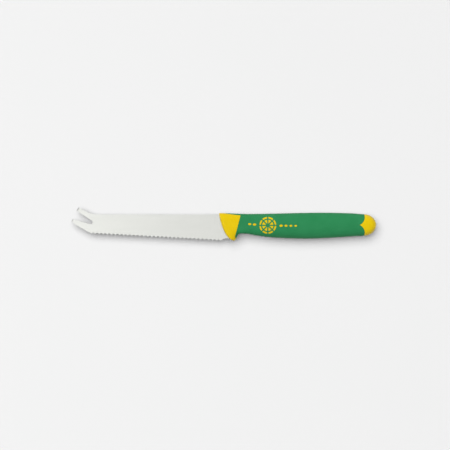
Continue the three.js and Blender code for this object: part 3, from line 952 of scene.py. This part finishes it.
# Blunt end of a prong, rough from the stone, in a dark grey that paints the shade at the tip's end: a line
# that sets the tip off from the pale ground.
def noseShadeStainless():
    material, tree, shader, spot = newMaterial("nose_painted_shade")
    grit = addNode(tree, "TexNoise", {"Scale": scaleFor(0.3), "Detail": 2}, {"Vector": spot})
    tone = addNode(
        tree, "Mix", {colourA: linear("#9C9C99"), colourB: linear("#B4B4B1")},
        {"Factor": grit.outputs["Fac"]}, data_type="RGBA",
    )
    bump = addNode(tree, "Bump", {"Strength": 0.4, "Distance": 0.03 * mm}, {"Height": grit.outputs["Fac"]})
    feed(tree, shader, {"Metallic": 1, "Roughness": 0.5}, {
        "Base Color": tone.outputs[colourOut],
        "Normal": bump.outputs["Normal"],
    })
    return material


# Injection moulded polypropylene: a warm yellow through and through, half gloss, with a faint orange peel.
def mouldedPolypropylene():
    material, tree, shader, spot = newMaterial("moulded_polypropylene")
    cloud = addNode(tree, "TexNoise", {"Scale": scaleFor(9), "Detail": 3}, {"Vector": spot})
    share = addNode(tree, "MapRange", noiseSpan, {"Value": cloud.outputs["Fac"]})
    tone = addNode(
        tree, "Mix", {colourA: linear("#E3C303"), colourB: linear("#E9C906")},
        {"Factor": share.outputs["Result"]}, data_type="RGBA",
    )
    scuffScale = [scaleFor(size) for size in (7, 0.5, 0.5)]
    drawn = addNode(tree, "Mapping", {"Scale": scuffScale}, {"Vector": spot})
    scuffs = addNode(tree, "TexNoise", {"Scale": 1, "Detail": 3}, {"Vector": drawn.outputs["Vector"]})
    rough = addNode(
        tree, "MapRange", {"From Min": 0.35, "From Max": 0.75, "To Min": 0.33, "To Max": 0.45},
        {"Value": scuffs.outputs["Fac"]},
    )
    peel = addNode(tree, "TexNoise", {"Scale": scaleFor(1.4), "Detail": 1}, {"Vector": spot})
    bump = addNode(tree, "Bump", {"Strength": 0.25, "Distance": 0.03 * mm}, {"Height": peel.outputs["Fac"]})
    feed(tree, shader, {"IOR": 1.49, "Specular IOR Level": 0.32}, {
        "Base Color": tone.outputs[colourOut],
        "Roughness": rough.outputs["Result"],
        "Normal": bump.outputs["Normal"],
    })
    return material


palmRub = {"at": (68, -4, 0), "reach": (34, 14, 14)}  # where the palm polishes the grip


# Thermoplastic rubber from a fine eroded mould: a dull, even green with a dry grain, smoother in the palm.
def softRubber():
    material, tree, shader, spot = newMaterial("soft_thermoplastic_rubber")
    cloud = addNode(tree, "TexNoise", {"Scale": scaleFor(7), "Detail": 4}, {"Vector": spot})
    share = addNode(tree, "MapRange", noiseSpan, {"Value": cloud.outputs["Fac"]})
    tone = addNode(
        tree, "Mix", {colourA: linear("#2D8451"), colourB: linear("#338A57")},
        {"Factor": share.outputs["Result"]}, data_type="RGBA",
    )
    # the mould's grain is about 0.1 mm, drawn at 0.45 mm so that it shows
    grain = addNode(tree, "TexNoise", {"Scale": scaleFor(0.45), "Detail": 2}, {"Vector": spot})
    bump = addNode(tree, "Bump", {"Strength": 0.8, "Distance": 0.05 * mm}, {"Height": grain.outputs["Fac"]})
    reach = [size * mm for size in palmRub["reach"]]
    rubbed = addNode(
        tree, "Mapping", {"Location": toFrame(palmRub["at"]), "Scale": reach},
        {"Vector": spot}, vector_type="TEXTURE",
    )
    polish = addNode(tree, "TexGradient", {}, {"Vector": rubbed.outputs["Vector"]}, gradient_type="SPHERICAL")
    rough = addNode(tree, "MapRange", {"To Min": 0.58, "To Max": 0.5}, {"Value": polish.outputs["Fac"]})
    feed(tree, shader, {"IOR": 1.5, "Specular IOR Level": 0.08}, {
        "Base Color": tone.outputs[colourOut],
        "Roughness": rough.outputs["Result"],
        "Normal": bump.outputs["Normal"],
    })
    return material


# The blade's finishes are told apart by a face's place in mm and by how far its normal points up.
finishes = {
    "noseUp": 0.2,
    "heelRoom": 0.1,
    "scallopRoom": 0.4,
    "scallopUp": 0.9,
    "bevelRoom": 1,
    "bevelUp": (-0.98, -0.9),
    "facetReach": 12,
    "facetUp": (0.8, 0.9),
}
satinSlot, groundSlot, noseShadeSlot = range(3)


def onNose(centre, normal):
    for tip in (upperTip, lowerTip):
        along = (centre.xy - tip["centre"]) @ Vector((math.cos(tip["angle"]), -math.sin(tip["angle"])))
        if along < blade["nose"][0] and normal.z > finishes["noseUp"]:
            return True
    return False


def onGround(centre, normal):
    if centre.x > blade["heelSetback"] + finishes["heelRoom"]:
        return False
    scallopTop = toothLine(centre.x) + blade["toothDepth"] + finishes["scallopRoom"]
    steep = abs(normal.z) < finishes["scallopUp"]
    scallop = steep and centre.x > firstToothX and centre.y < scallopTop
    low, high = finishes["bevelUp"]
    bevel = low < normal.z < high and centre.x > firstToothX - finishes["bevelRoom"]
    low, high = finishes["facetUp"]
    facet = low < normal.z < high and centre.x < tipX + finishes["facetReach"]
    return scallop or bevel or facet


def finishOf(face):
    centre = (face.center - origin) / mm
    # the blunt noses take the dark grey that paints their shade
    if onNose(centre, face.normal):
        return noseShadeSlot
    return groundSlot if onGround(centre, face.normal) else satinSlot


for material in (satinStainless(), groundStainless(), noseShadeStainless()):
    bladePiece.data.materials.append(material)
for face in bladePiece.data.polygons:
    face.material_index = finishOf(face)
polypropylene = mouldedPolypropylene()
for piece, material in ((corePiece, polypropylene), (capPiece, polypropylene), (gripPiece, softRubber())):
    piece.data.materials.clear()  # the cuts leave empty slots
    piece.data.materials.append(material)
print("materials on")

# Stage: pale paper, soft key light from the upper left, camera straight above
stage = {
    "paper": "#F2F2F2",
    "floorSize": 4,  # metres, as are the lamps' sizes and places
    "fill": 0.09,  # grey of the room, as far as it lights the knife
    "key": 2.83,  # strength of the sun lamp
    "keySpread": 58,  # degrees across, an overhead soft box
    "keyFrom": (-0.19, 0.3, 1),
    "panels": [  # power, size, place
        (0.74, 0.6, (-0.5, -0.1, 0.9)),  # brightens the blade towards the fork
        (0.2, 0.3, (-0.85, 0.4, 0.46)),  # shines on the tips
    ],
    "centre": (0.97, -0.68),  # middle of the picture, in mm from the frame's origin
    "field": 335,  # width of the picture at the blade
    "lens": 100,
    "sensor": 36,
}


def layPaper():
    material, tree, shader, _ = newMaterial("matt_paper")
    feed(tree, shader, {"Base Color": linear(stage["paper"]), "Roughness": 1, "Specular IOR Level": 0})
    deselectAll()
    bpy.ops.mesh.primitive_plane_add(size=stage["floorSize"])
    floor = nameIt(bpy.context.object, "floor")
    floor.data.materials.append(material)


# The camera and the steel see a room as pale as the paper, and only a weak fill lights the knife.
def makeRoom():
    world = bpy.data.worlds.new("soft_studio")
    world.use_nodes = True
    bpy.context.scene.world = world
    tree = world.node_tree
    path = addNode(tree, "LightPath")
    seen = path.outputs["Is Camera Ray"]
    for ray in ("Is Glossy Ray", "Is Transmission Ray"):
        seen = addNode(tree, "Math", {}, {0: seen, 1: path.outputs[ray]}, operation="MAXIMUM").outputs[0]
    tone = addNode(
        tree, "Mix", {colourA: [stage["fill"]] * 3 + [1], colourB: linear(stage["paper"])},
        {"Factor": seen}, data_type="RGBA",
    )
    feed(tree, tree.nodes["Background"], {"Strength": 1}, {"Color": tone.outputs[colourOut]})


# A lamp that shines from its place towards the frame's origin
def hangLamp(name, kind, power, place):
    deselectAll()
    bpy.ops.object.light_add(type=kind, location=place)
    lamp = bpy.context.object
    lamp.name = name
    lamp.data.energy = power
    lamp.rotation_euler = Vector(place).to_track_quat("Z", "Y").to_euler()
    return lamp


def hangLamps():
    key = hangLamp("key_light", "SUN", stage["key"], stage["keyFrom"])
    key.data.angle = math.radians(stage["keySpread"])
    key.visible_glossy = False  # the steel mirrors the pale room, not the lamp
    key.data.cycles.use_multiple_importance_sampling = False  # keeps the whole shadow on the paper
    for power, size, place in stage["panels"]:
        hangLamp("side_panel", "AREA", power, place).data.size = size


def placeCamera():
    deselectAll()
    height = stage["field"] * stage["lens"] / stage["sensor"]
    x, y = stage["centre"]
    place = (x * mm, y * mm, origin.z + height * mm)
    bpy.ops.object.camera_add(location=place, rotation=(0, 0, 0))  # looks straight down
    camera = bpy.context.object
    camera.name = "photo_camera"
    camera.data.lens = stage["lens"]
    camera.data.sensor_width = stage["sensor"]
    bpy.context.scene.camera = camera


layPaper()
makeRoom()
hangLamps()
placeCamera()
bpy.context.scene.view_settings.view_transform = "Standard"
bpy.context.scene.cycles.denoising_input_passes = "RGB"  # the guided denoiser rubs out the small teeth
print("stage set")
